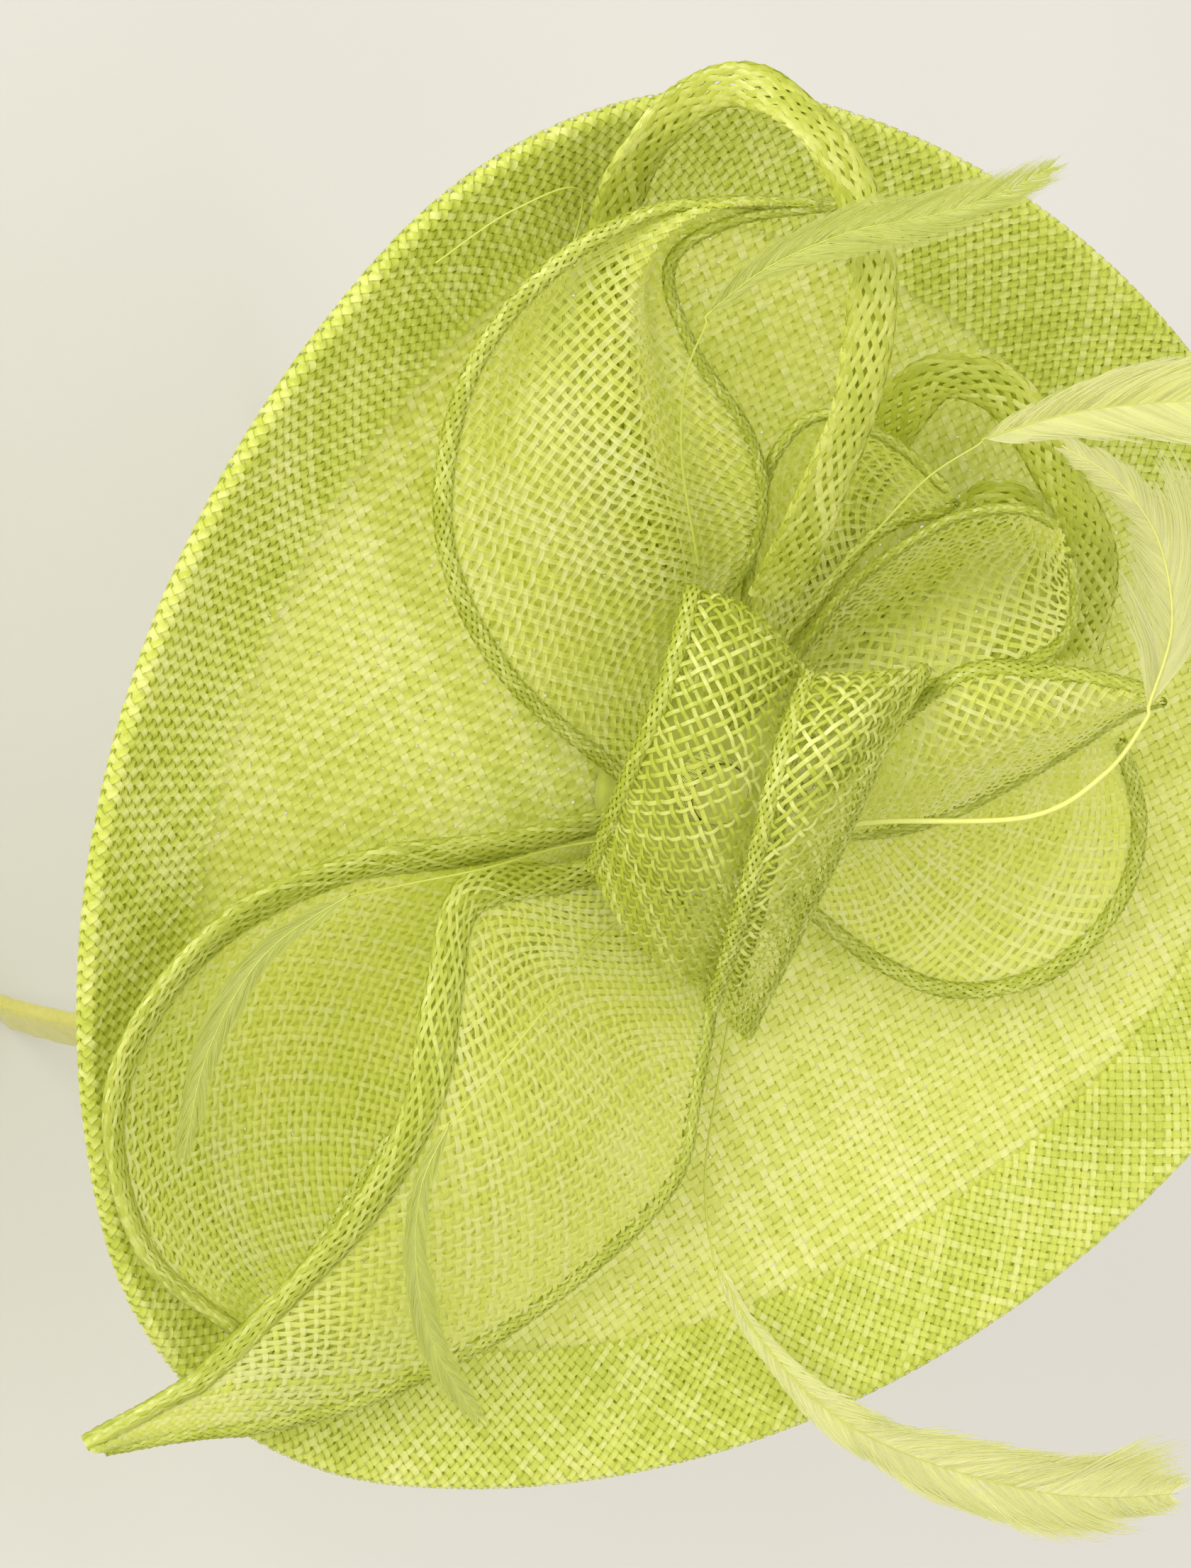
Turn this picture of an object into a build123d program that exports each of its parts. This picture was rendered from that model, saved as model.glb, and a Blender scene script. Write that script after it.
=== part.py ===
from build123d import *
import os
from math import atan2, cos, degrees, hypot, pi, radians, sin, sqrt, tan

# A disc fascinator on a sprung headband, as worn: +Z up, the headband in the XZ plane, +X the side that
# the disc leans to. The origin is the centre of the headband's crown. Millimetres.

# Headband: a spring core in a fabric sleeve, a round crown and two arms that flex outward
crown_radius = 64.0         # inner face, against the head
crown_half_angle = 72.0     # the crown's reach each side of its top
band_width = 8.0
sleeve_thickness = 0.6
core_thickness = 1.6
arm_radius = 250.0          # inner face of an arm below the crown's centre
arm_drop = 75.0             # tips this far below the crown's centre
tip_round = 3.2
joint_gap = 0.2             # between crown and arm, closed by the sleeve's fabric

# Disc: two layers of woven straw, a wire round the rim and a bias binding folded over both
disc_width = 190.0          # the same across the rim in every direction
corner_radius = 60.0        # the rim's three tighter curves
brim_arc = 100.0            # radius of the brim's upward curve
brim_angle = 25.0           # slope at the rim
layer = 0.8                 # one layer of woven straw, and the wire's radius
binding_thickness = 0.8
binding_width = 17.0
disc_tilt = 30.0            # from the top of the head towards +X

# What joins the disc to the headband
pad_length = 46.0
pad_width = 24.0
pad_corner = 11.0
pad_web = 0.8               # felt left between headband and disc
pad_grip = 1.6              # felt that stands beside the headband
stitch_radius = 0.35
stitch_length = 3.0
stitch_spacing = 4.0
stitches_each_side = 7

# Flower
straw = 0.7                 # one layer of woven straw in petals, knot and loops
base_radius = 15.0
base_thickness = 2.4
base_centre = (-3.0, -5.0)
post_radius = 4.0
post_height = 5.0
wrap_thread = 0.5
quill_radius = 0.45
quill_bend = 0.45           # an arc's reach along the shorter run beside it, as a share of the run
vane_thickness = 0.5
vane_tip = 0.6              # half the vane's width at its two ends

band_thickness = core_thickness + 2 * sleeve_thickness
band_outer = crown_radius + band_thickness
corner_spacing = disc_width - 2 * corner_radius
rim_inset = layer + binding_thickness       # from the outer edge in to the wire's centre
brim_reach = brim_arc * sin(radians(brim_angle))
dish_depth = brim_arc * (1 - cos(radians(brim_angle)))
rim_height = band_outer + pad_web + layer + dish_depth      # rim plane above the crown's centre
disc_place = Rot(0, disc_tilt, 0) * Pos(0, 0, rim_height)


# ---- headband ----

def crown_strip(inner, outer):
    """The crown's outline in the XZ plane, between two radii."""
    reach = crown_half_angle
    inner_arc = CenterArc((0, 0), inner, 90 - reach, 2 * reach)
    outer_arc = CenterArc((0, 0), outer, 90 - reach, 2 * reach)
    ends = [Line(inner_arc @ 0, outer_arc @ 0), Line(inner_arc @ 1, outer_arc @ 1)]
    return make_face([inner_arc, outer_arc] + ends)


def arm_strip(inset, thickness, cap):
    """One arm's outline: round to the level of the crown's centre, then a flatter curve to the tip."""
    start = 90 - crown_half_angle - degrees(joint_gap / band_outer)
    drop_angle = degrees(arm_drop / arm_radius) - degrees(cap / arm_radius)
    centre = (crown_radius - arm_radius, 0)
    edges = []
    for offset in (inset, inset + thickness):
        upper = CenterArc((0, 0), crown_radius + offset, 0, start)
        lower = CenterArc(centre, arm_radius + offset, -drop_angle, drop_angle)
        edges += [upper, lower]
    edges += [Line(edges[0] @ 1, edges[2] @ 1), Line(edges[1] @ 0, edges[3] @ 0)]
    return make_face(edges)


def band_solid(outline, width, round_tip):
    """An outline made as wide as the band, with a rounded tip on an arm."""
    solid = extrude(Plane.XZ * outline, amount=width / 2, both=True)
    if round_tip:
        corners = solid.edges().filter_by(lambda e: e.length < band_thickness + 0.1).sort_by(Axis.Z)[:2]
        solid = fillet(corners, round_tip)
    return solid


core_width = band_width - 2 * sleeve_thickness
crown_core = band_solid(
    crown_strip(crown_radius + sleeve_thickness, crown_radius + sleeve_thickness + core_thickness),
    core_width, 0)
crown_sleeve = band_solid(crown_strip(crown_radius, band_outer), band_width, 0) - crown_core
arm_core = band_solid(arm_strip(sleeve_thickness, core_thickness, sleeve_thickness),
                      core_width, tip_round - sleeve_thickness)
arm_sleeve = band_solid(arm_strip(0, band_thickness, 0), band_width, tip_round) - arm_core


# ---- disc: a curve of constant width, three tight arcs and three wide ones ----

def rim_segments(inset):
    """Centre, radius and start angle of the six arcs that lie this far inside the outer rim."""
    segments = []
    for k in range(3):
        for turn, centre_k, radius in ((-30, k, corner_radius), (30, k + 2, disc_width - corner_radius)):
            direction = radians(120 * centre_k)
            reach = corner_spacing / sqrt(3)
            centre = Vector(reach * cos(direction), reach * sin(direction), 0)
            segments.append((centre, radius - inset, 120 * k + turn))
    return segments


def brim_point(radius, angle, arc_radius):
    """A point of the brim's section: the rim arc's radius, the slope there and the section arc's radius."""
    slope = radians(angle)
    centre_height = brim_arc * cos(radians(brim_angle))
    return Vector(radius - brim_reach + arc_radius * sin(slope), centre_height - arc_radius * cos(slope))


def brim_arc_edge(radius, arc_radius, start, end):
    middle = (start + end) / 2
    return ThreePointArc(*(brim_point(radius, a, arc_radius) for a in (start, middle, end)))


def layer_section(radius, upper, lower):
    """Section of one layer over the brim, ending against the wire."""
    end = brim_angle - degrees(layer / brim_arc)
    top = brim_arc_edge(radius, upper, 0, end)
    bottom = brim_arc_edge(radius, lower, 0, end)
    return make_face([top, bottom, Line(top @ 0, bottom @ 0), Line(top @ 1, bottom @ 1)])


def binding_section(radius):
    """A strip folded over the rim: one limb above, one below, a half turn round the wire."""
    start = brim_angle - degrees(binding_width / brim_arc)
    wire = brim_point(radius, brim_angle, brim_arc)
    outward = Vector(cos(radians(brim_angle)), sin(radians(brim_angle)))
    edges = []
    for reach in (layer, layer + binding_thickness):
        above = brim_arc_edge(radius, brim_arc - reach, start, brim_angle)
        below = brim_arc_edge(radius, brim_arc + reach, start, brim_angle)
        edges += [above, ThreePointArc(above @ 1, wire + outward * reach, below @ 1), below]
    edges += [Line(edges[0] @ 0, edges[3] @ 0), Line(edges[2] @ 0, edges[5] @ 0)]
    return make_face(edges)


def round_the_rim(section_at):
    """Turn a section about each of the rim's six arc centres and join the pieces."""
    pieces = []
    for centre, radius, start in rim_segments(rim_inset):
        a = radians(start)
        plane = Plane(origin=centre, x_dir=(cos(a), sin(a), 0), z_dir=(sin(a), -cos(a), 0))
        pieces.append(revolve(plane * section_at(radius), Axis(centre, (0, 0, 1)), 60))
    return pieces[0] + pieces[1:]


def saucer_layer(upper, lower):
    """One layer: a flat middle and the brim round it, between two radii of the brim's section."""
    arcs = [CenterArc(c, r, a, 60) for c, r, a in rim_segments(rim_inset + brim_reach)]
    centre_height = brim_arc * cos(radians(brim_angle))
    middle = extrude(make_face(arcs), amount=lower - upper)
    brim = round_the_rim(lambda radius: layer_section(radius, upper, lower))
    return brim + Pos(0, 0, centre_height - lower) * middle


def wire_section(radius):
    return Pos(radius, 0) * Circle(layer)


saucer_upper = saucer_layer(brim_arc - layer, brim_arc)
saucer_lower = saucer_layer(brim_arc, brim_arc + layer)
rim_wire = round_the_rim(wire_section)
edge_binding = round_the_rim(binding_section)


def inside_rim(u, v):
    """How far a point of the disc lies inside the outer rim; past the rim it is negative."""
    depths = []
    for centre, radius, start in rim_segments(0):
        bearing = degrees(atan2(v - centre.Y, u - centre.X))
        if (bearing - start) % 360 <= 60:
            depths.append(radius - hypot(u - centre.X, v - centre.Y))
    return min(depths) if depths else disc_width / 2


def saucer_top(u, v):
    """Height of the disc's upper face from the rim plane, level past the rim."""
    climb = brim_reach - max(0, inside_rim(u, v) - rim_inset)
    section = brim_arc - layer
    return brim_arc * cos(radians(brim_angle)) - sqrt(section ** 2 - max(0, climb) ** 2)


# ---- pad and stitches under the disc ----

pad_thickness = pad_web + pad_grip
pad_top = -dish_depth - layer
pad = Pos(0, 0, pad_top - pad_thickness) * extrude(
    RectangleRounded(pad_length, pad_width, pad_corner), amount=pad_thickness)
band_room = Rot(90, 0, 0) * Cylinder(band_outer, band_width)
pad = disc_place * pad - band_room


def slip_stitches():
    """Threads along both edges of the headband, against the pad's underside."""
    threads = []
    for side in (-1, 1):
        for k in range(stitches_each_side):
            x = (k - (stitches_each_side - 1) / 2) * stitch_spacing
            y = side * (band_width + stitch_length) / 2
            thread = Rot(90, 0, 0) * Cylinder(stitch_radius, stitch_length)
            threads.append(Pos(x, y, pad_top - pad_thickness - stitch_radius) * thread)
    return Compound(children=[disc_place * t for t in threads])


# ---- flower: curved sheets through hand-set lines of (u, v, height above the disc) ----

def smooth(points, t):
    """A smooth curve through the points, t from 0 to 1."""
    spans = len(points) - 1
    i = min(int(t * spans), spans - 1)
    f = t * spans - i
    b, c = points[i], points[i + 1]
    a = points[i - 1] if i else [2 * p - q for p, q in zip(b, c)]
    d = points[i + 2] if i + 2 <= spans else [2 * q - p for p, q in zip(b, c)]
    return [0.5 * (2 * q + (r - p) * f + (2 * p - 5 * q + 4 * r - s) * f ** 2
                   + (3 * q - p - 3 * r + s) * f ** 3) for p, q, r, s in zip(a, b, c, d)]


def even_steps(line, count, fine=400):
    """Values of t that part a smooth curve into lengths about equal, measured in fine short steps."""
    marks = [Vector(*smooth(line, i / fine)) for i in range(fine + 1)]
    runs = [(q - p).length for p, q in zip(marks, marks[1:])]
    steps, i, covered = [0.0], 0, 0.0
    for k in range(1, count):
        while covered + runs[i] < sum(runs) * k / count:
            covered += runs[i]
            i += 1
        steps.append((i + (sum(runs) * k / count - covered) / runs[i]) / fine)
    return steps + [1.0]


def sheet_point(left, ridge, right, cup, lobes, t, s):
    """A point of a sheet: t along it, s across from its left line over its ridge to its right line."""
    ends = (2 * s * s - 3 * s + 1, 4 * s * (1 - s), 2 * s * s - s)
    lines = [smooth(line, t) for line in (left, ridge, right)]
    u, v, h = (sum(e * line[i] for e, line in zip(ends, lines)) for i in range(3))
    h -= cup * sin(lobes * pi * s) ** 2 * sin(pi * t)
    return Vector(u, v, saucer_top(u, v) + h)


def curved_sheet(left, ridge, right, cup=0, lobes=1, thickness=straw, along=30, across=6, step=0.01):
    """A closed sheet of even thickness whose middle face follows the three lines. step is the share of
    the sheet over which its slope is taken."""
    def face_at(offset):
        return Face.make_surface_from_array_of_points(
            [[side_point(t, j / across, offset) for j in range(across + 1)]
             for t in even_steps(ridge, along)])

    def side_point(t, s, offset):
        shape = (left, ridge, right, cup, lobes)
        t0, t1, s0, s1 = max(t - step, 0), min(t + step, 1), max(s - step, 0), min(s + step, 1)
        way_along = sheet_point(*shape, t1, s) - sheet_point(*shape, t0, s)
        way_across = sheet_point(*shape, t, s1) - sheet_point(*shape, t, s0)
        return sheet_point(*shape, t, s) + way_along.cross(way_across).normalized() * offset

    front, back = face_at(thickness / 2), face_at(-thickness / 2)
    sides = []
    for t, s in ((0, 0.5), (1, 0.5), (0.5, 0), (0.5, 1)):
        rails = [face.edges().sort_by_distance(side_point(t, s, offset))[0]
                 for face, offset in ((front, thickness / 2), (back, -thickness / 2))]
        sides.append(Face.make_surface_from_curves(*rails))
    return Solid(Shell([front, back] + sides))


petals = {
    "petal_upper_left": curved_sheet(
        [(4, -15, 4), (6, -41, 7), (0, -62, 8), (-14, -76, 9),
         (-29, -81, 12), (-45, -78, 16), (-62, -63, 24)],
        [(-6, -18, 4), (-16, -36, 12), (-22, -53, 17), (-31, -66, 17), (-39, -74, 17), (-49, -75, 20),
         (-61, -64, 25)],
        [(-17, -22, 4), (-29, -30, 11), (-36, -41, 13), (-38, -58, 14), (-42, -70, 15), (-50, -71, 19),
         (-60, -65, 24)],
        cup=5, lobes=2),
    "petal_lower_left": curved_sheet(
        [(9, -13, 4), (23, -26, 8), (37, -41, 11), (53, -50, 10), (69, -50, 7), (81, -43, 5), (90, -27, 6),
         (90, -8, 8)],
        [(14, -10, 3), (27, -16, 4), (42, -22, 4), (58, -26, 5), (71, -24, 4), (80, -20, 4), (86, -14, 5),
         (89, -6, 7)],
        [(18, -7, 3), (32, -8, 3), (48, -6, 4), (62, -5, 5), (72, -4, 5), (79, -4, 6), (84, -4, 7),
         (88, -4, 7)]),
    "petal_lower_centre": curved_sheet(
        [(12, -8, 5), (19, -14, 7), (30, -28, 15), (42, -25, 22), (54, -17, 23),
         (70, -11, 19), (88, -9, 11), (103, -12, 7),
         (113, -15, 5)],
        [(11, 2, 4), (19, 0, 6), (30, -8, 15), (41, -4, 22), (53, 2, 22),
         (68, 5, 18), (86, 0, 13), (102, -8, 7),
         (113, -14, 6)],
        [(12, 13, 4), (18, 18, 6), (27, 22, 10), (37, 26, 14), (50, 26, 14),
         (68, 22, 12), (87, 12, 9), (103, -4, 6),
         (112, -12, 5)]),
    "petal_right_lower": curved_sheet(
        [(-1, 17, 4), (-3, 33, 6), (-8, 45, 8), (-19, 53, 10), (-32, 53, 11), (-41, 45, 13), (-46, 31, 16)],
        [(-6, 16, 4), (-11, 31, 4), (-20, 38, 5), (-29, 41, 7),
         (-36, 40, 10), (-41, 36, 13), (-46, 29, 16)],
        [(-10, 14, 5), (-18, 21, 7), (-26, 24, 10), (-34, 25, 12), (-39, 26, 14), (-43, 27, 15),
         (-46, 27, 16)]),
    "petal_right_upper": curved_sheet(
        [(-13, 6, 9), (-26, -2, 22), (-35, -3, 28), (-42, 4, 32), (-46, 9, 35), (-49, 14, 37)],
        [(-10, 8, 11), (-23, 3, 25), (-31, 4, 32), (-38, 8, 35), (-44, 11, 36), (-49, 15, 38)],
        [(-9, 12, 8), (-21, 18, 15), (-31, 19, 21), (-39, 18, 27), (-46, 17, 32), (-49, 16, 37)]),
    "petal_upper_right": curved_sheet(
        [(-20, -10, 7), (-31, -15, 12), (-39, -17, 17), (-48, -16, 21), (-54, -12, 24), (-56, -7, 25)],
        [(-20, -6, 6), (-33, -3, 8), (-41, 0, 9), (-48, 2, 13), (-53, 2, 18), (-56, -4, 24)],
        [(-20, -2, 7), (-31, 4, 11), (-39, 9, 14), (-46, 11, 18), (-51, 7, 22), (-55, -2, 25)],
        cup=3),
    "petal_upper_centre": curved_sheet(
        [(-20, -18, 5), (-31, -30, 8), (-38, -37, 12), (-45, -37, 14), (-49, -28, 16), (-50, -18, 18)],
        [(-22, -15, 5), (-32, -21, 5), (-39, -25, 6), (-45, -25, 10), (-48, -22, 14), (-50, -17, 18)],
        [(-23, -12, 5), (-33, -13, 5), (-40, -14, 6), (-45, -14, 9), (-48, -14, 14), (-50, -15, 17)]),
}

knot = {
    "knot_lower_fold": curved_sheet(
        [(-9, -24, 10), (-17, -36, 18), (-5, -33, 24), (7, -25, 20), (16, -14, 10)],
        [(-9, -19, 12), (-20, -30, 22), (-7, -26, 30), (7, -15, 27), (19, 2, 9)],
        [(-9, -13, 11), (-20, -18, 20), (-10, -15, 28), (3, -2, 24), (15, 18, 8)], along=32),
    "knot_upper_fold": curved_sheet(
        [(-13, -12, 18), (-19, -20, 26), (-8, -20, 34), (5, -8, 30), (18, 12, 14)],
        [(-13, -7, 20), (-24, -17, 31), (-14, -16, 38), (0, -5, 32), (18, 18, 12)],
        [(-13, -2, 19), (-30, -9, 28), (-18, -8, 32), (-7, 2, 25), (17, 23, 9)], along=32),
}

loops = {
    "narrow_loop_tall": curved_sheet(
        [(-15, -30, 3), (-23, -53, 5), (-33, -71, 7), (-46, -86, 10), (-61, -86, 14), (-65, -75, 23),
         (-60, -61, 33), (-47, -47, 36), (-34, -35, 30), (-25, -24, 19)],
        [(-17, -28, 3), (-25, -50, 5), (-35, -69, 7), (-49, -84, 10), (-61, -84, 15), (-63, -77, 24),
         (-58, -63, 33), (-45, -50, 36), (-32, -39, 30), (-24, -28, 19)],
        [(-19, -26, 3), (-27, -48, 5), (-37, -67, 7), (-51, -81, 10), (-60, -82, 15), (-61, -78, 24),
         (-56, -65, 33), (-44, -52, 36), (-31, -42, 31), (-23, -31, 20)], along=48, across=3),
    "narrow_loop_outer": curved_sheet(
        [(-24, -12, 3), (-44, -21, 3), (-54, -29, 8), (-61, -31, 12), (-66, -22, 16), (-65, -9, 18),
         (-62, 7, 17), (-52, 24, 8)],
        [(-24, -10, 3), (-43, -18, 3), (-54, -25, 8), (-60, -28, 12), (-64, -21, 15), (-62, -9, 17),
         (-60, 6, 16), (-51, 22, 8)],
        [(-24, -8, 3), (-43, -15, 3), (-53, -21, 8), (-59, -24, 12), (-62, -20, 15), (-60, -9, 16),
         (-57, 5, 15), (-50, 20, 8)], along=40, across=3),
    "narrow_loop_inner": curved_sheet(
        [(-24, -6, 3), (-42, -4, 3), (-53, -7, 6), (-58, -8, 10), (-60, -2, 11), (-58, 7, 11), (-52, 14, 9),
         (-44, 19, 6)],
        [(-24, -4, 3), (-41, -2, 3), (-53, -4, 6), (-57, -5, 9), (-58, -1, 10), (-57, 6, 10), (-51, 13, 8),
         (-43, 17, 5)],
        [(-24, -2, 3), (-40, 0, 3), (-52, -1, 6), (-55, -2, 8), (-56, 0, 9), (-55, 5, 9), (-50, 11, 7),
         (-42, 15, 4)], along=40, across=3),
}

# ---- feathers: a stripped quill and the vane at its end ----

def quill(points):
    """A bare quill: straight runs joined by arcs as large as the runs allow."""
    corners = [Vector(u, v, saucer_top(u, v) + h) for u, v, h in points]
    runs = [b - a for a, b in zip(corners, corners[1:])]
    turns = [radians(a.get_angle(b)) for a, b in zip(runs, runs[1:])]
    reaches = [quill_bend * min(a.length, b.length) for a, b in zip(runs, runs[1:])]
    radii = [reach / tan(turn / 2) for reach, turn in zip(reaches, turns)]
    path = FilletPolyline(*corners, radius=radii)
    section = Plane(origin=path @ 0, z_dir=path % 0) * Circle(quill_radius)
    return sweep(section, path=path)


def vane(points, half_width):
    """The barbed end of a feather: widest past its middle, lying along the points."""
    left, right = [], []
    last = len(points) - 1
    for i, (u, v, h) in enumerate(points):
        ahead, behind = points[min(i + 1, last)], points[max(i - 1, 0)]
        du, dv = ahead[0] - behind[0], ahead[1] - behind[1]
        reach = (vane_tip + half_width * sin(pi * i / last)) / hypot(du, dv)
        left.append((u - dv * reach, v + du * reach, h))
        right.append((u + dv * reach, v - du * reach, h))
    return curved_sheet(left, points, right, thickness=vane_thickness, along=20, across=2)


# name: the quill's points, the vane's points, half the vane's width
feathers = {
    "feather_right": (
        [(-17, -13, 10), (-24, -19, 13), (-37, -27, 26), (-46, -30, 31), (-53, -30, 34)],
        [(-54, -30, 34), (-64, -26, 38), (-74, -19, 42), (-82, -11, 43), (-88, -2, 42)], 5.5),
    "feather_curl": (
        [(-6, 3, 17), (-13, 6, 21), (-26, 13, 36), (-36, 13, 42), (-44, 9, 46)],
        [(-45, 8, 46), (-53, 0, 49), (-58, -12, 51), (-58, -25, 54), (-55, -36, 56)], 3.5),
    "feather_low_right": (
        [(5, 14, 3), (20, 26, 3), (34, 37, 4), (42, 46, 6)],
        [(42, 47, 6), (45, 56, 8), (46, 70, 9), (42, 88, 8),
         (35, 105, 9), (28, 118, 8), (20, 131, 5)], 5.5),
    "feather_lower_centre": (
        [(11, 3, 6), (20, -4, 7), (35, -14, 24), (52, -15, 27)],
        [(53, -15, 27), (61, -12, 27), (69, -3, 25), (75, 9, 22), (78, 23, 18)], 3.0),
    "feather_left": (
        [(10, -11, 6), (17, -18, 7), (27, -31, 17), (40, -44, 20)],
        [(41, -45, 20), (53, -48, 18), (66, -44, 15), (78, -35, 12)], 3.5),
    "feather_top": (
        [(-20, -35, 14), (-26, -52, 22), (-32, -64, 28), (-37, -70, 32)],
        [(-38, -71, 32), (-46, -73, 37), (-55, -71, 41), (-64, -66, 44), (-76, -63, 48)], 4.5),
}

# one quill stands bare, with no vane
bare_quill = quill([(-6, -22, 3), (-16, -48, 3), (-31, -70, 3), (-41, -82, 5),
                    (-33, -89, 7), (-21, -93, 8)])

# ---- what the flower is sewn to ----

base_place = Pos(*base_centre, saucer_top(*base_centre))
lying = (Align.CENTER, Align.CENTER, Align.MIN)
flower_base = base_place * Cylinder(base_radius, base_thickness, align=lying)
gather_post = base_place * Pos(0, 0, base_thickness) * Cylinder(post_radius, post_height, align=lying)
wrap_turns = int(post_height / (2 * wrap_thread))
gather_wrap = Compound(children=[
    base_place * Pos(0, 0, base_thickness + (2 * k + 1) * wrap_thread)
    * Torus(post_radius + wrap_thread, wrap_thread) for k in range(wrap_turns)])

nodes = {
    "headband_crown_core": crown_core,
    "headband_crown_sleeve": crown_sleeve,
    "headband_right_arm_core": arm_core,
    "headband_right_arm_sleeve": arm_sleeve,
    "headband_left_arm_core": mirror(arm_core, about=Plane.YZ),
    "headband_left_arm_sleeve": mirror(arm_sleeve, about=Plane.YZ),
    "backing_pad": pad,
    "pad_stitches": slip_stitches(),
}
on_disc = {
    "saucer_upper_layer": saucer_upper,
    "saucer_lower_layer": saucer_lower,
    "rim_wire": rim_wire,
    "edge_binding": edge_binding,
    "flower_base": flower_base,
    "gather_post": gather_post,
    "gather_wrap": gather_wrap,
    "feather_bare_quill": bare_quill,
}
for group in (petals, knot, loops):
    on_disc.update(group)
for name, (stem, blade, half_width) in feathers.items():
    on_disc[name + "_quill"] = quill(stem)
    on_disc[name + "_vane"] = vane(blade, half_width)
for name, solid in on_disc.items():
    nodes[name] = disc_place * solid

os.makedirs("parts", exist_ok=True)
for name, solid in nodes.items():
    export_step(solid, f"parts/{name}.step")
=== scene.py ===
from math import cos, pi, radians, sin, sqrt, tan

import bpy
import numpy as np
from mathutils import Matrix, Vector


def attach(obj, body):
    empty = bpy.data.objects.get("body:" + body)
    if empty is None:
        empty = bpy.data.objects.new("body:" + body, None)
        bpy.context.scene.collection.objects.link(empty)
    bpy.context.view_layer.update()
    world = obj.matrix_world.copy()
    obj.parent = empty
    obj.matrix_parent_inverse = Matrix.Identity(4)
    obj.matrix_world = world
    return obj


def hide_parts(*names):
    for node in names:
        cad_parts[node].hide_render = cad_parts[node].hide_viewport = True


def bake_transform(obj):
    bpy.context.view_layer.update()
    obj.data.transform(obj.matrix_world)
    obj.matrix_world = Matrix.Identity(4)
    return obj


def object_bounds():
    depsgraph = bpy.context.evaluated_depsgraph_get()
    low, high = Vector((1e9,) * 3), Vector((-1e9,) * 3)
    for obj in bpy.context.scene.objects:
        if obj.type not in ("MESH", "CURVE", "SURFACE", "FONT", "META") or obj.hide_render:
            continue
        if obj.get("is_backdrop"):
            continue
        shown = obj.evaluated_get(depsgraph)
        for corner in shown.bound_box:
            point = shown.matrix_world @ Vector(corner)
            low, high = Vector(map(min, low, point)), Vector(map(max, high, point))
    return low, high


# A straw saucer fascinator on a sprung headband. Every straw thread is a modelled strip, woven over and
# under its neighbours on the surfaces that the CAD solids hold. Lengths are in millimetres until a mesh
# or a node tree is made.

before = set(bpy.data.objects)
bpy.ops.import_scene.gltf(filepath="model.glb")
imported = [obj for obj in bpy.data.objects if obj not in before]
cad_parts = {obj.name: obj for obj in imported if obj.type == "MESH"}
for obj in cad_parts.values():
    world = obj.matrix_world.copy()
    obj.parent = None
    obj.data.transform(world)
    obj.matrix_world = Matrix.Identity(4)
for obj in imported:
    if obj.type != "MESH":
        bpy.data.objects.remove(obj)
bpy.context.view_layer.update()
MM = 0.001
BODY = "crown_and_disc"

# The disc, as in the CAD
disc_width = 190.0
corner_radius = 60.0
brim_arc = 100.0
brim_angle = radians(25)
layer = 0.8
binding_thickness = 0.8
binding_width = 17.0
disc_tilt = radians(30)
pad_web = 0.8

# The headband, as in the CAD
crown_radius = 64.0
band_width = 8.0
band_thickness = 2.8
arm_radius = 250.0
arm_drop = 75.0
tip_round = 3.2

rim_inset = layer + binding_thickness
brim_reach = brim_arc * sin(brim_angle)
brim_centre = brim_arc * cos(brim_angle)
dish_depth = brim_arc - brim_centre
rim_height = crown_radius + band_thickness + pad_web + layer + dish_depth


# ---- the disc's surface, in (u, v) across the disc and w above the rim ----

def rim_arcs():
    """Centre, radius and start angle in degrees of the six arcs of the outer rim."""
    arcs = []
    reach = (disc_width - 2 * corner_radius) / sqrt(3)
    for k in range(3):
        for turn, centre_k, radius in ((-30, k, corner_radius), (30, k + 2, disc_width - corner_radius)):
            direction = radians(120 * centre_k)
            arcs.append((reach * cos(direction), reach * sin(direction), radius, 120 * k + turn))
    return arcs


ARCS = rim_arcs()


def inside_rim(u, v):
    """How far points of the disc lie inside the outer rim."""
    depth = np.full(np.shape(u), disc_width / 2)
    for centre_u, centre_v, radius, start in ARCS:
        bearing = np.degrees(np.arctan2(v - centre_v, u - centre_u))
        here = (bearing - start) % 360 <= 60
        depth = np.where(here, np.minimum(depth, radius - np.hypot(u - centre_u, v - centre_v)), depth)
    return depth


def brim_height(depth, section):
    """Height from the rim plane at a depth inside the rim, where the section has this radius."""
    climb = brim_reach - np.maximum(0, depth - rim_inset)
    return brim_centre - np.sqrt(section ** 2 - np.maximum(0, climb) ** 2)


def saucer_top(u, v):
    """Height of the upper layer's upper face."""
    return brim_height(np.maximum(inside_rim(u, v), 0), brim_arc - layer)


def place(points):
    """From (u, v, w) on the disc to the row frame, still in millimetres."""
    u, v, w = points[..., 0], points[..., 1], points[..., 2] + rim_height
    c, s = cos(disc_tilt), sin(disc_tilt)
    return np.stack([u * c + w * s, v, w * c - u * s], axis=-1)


def turned(directions):
    """From a direction on the disc to one in the row frame."""
    return place(directions) - place(np.zeros_like(directions))


def unit(vectors):
    return vectors / np.maximum(np.linalg.norm(vectors, axis=-1, keepdims=True), 1e-9)


# ---- meshes made of strips ----

FLAT = ((-0.5, 0.0), (0.5, 0.0))  # a flat straw fibre: across, up
ROUND = ((-0.5, -0.05), (0.0, 0.3), (0.5, -0.05))  # a fibre with a low ridge


def in_scene(name, data):
    """A new object of the scene."""
    thing = bpy.data.objects.new(name, data)
    bpy.context.scene.collection.objects.link(thing)
    return thing


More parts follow.
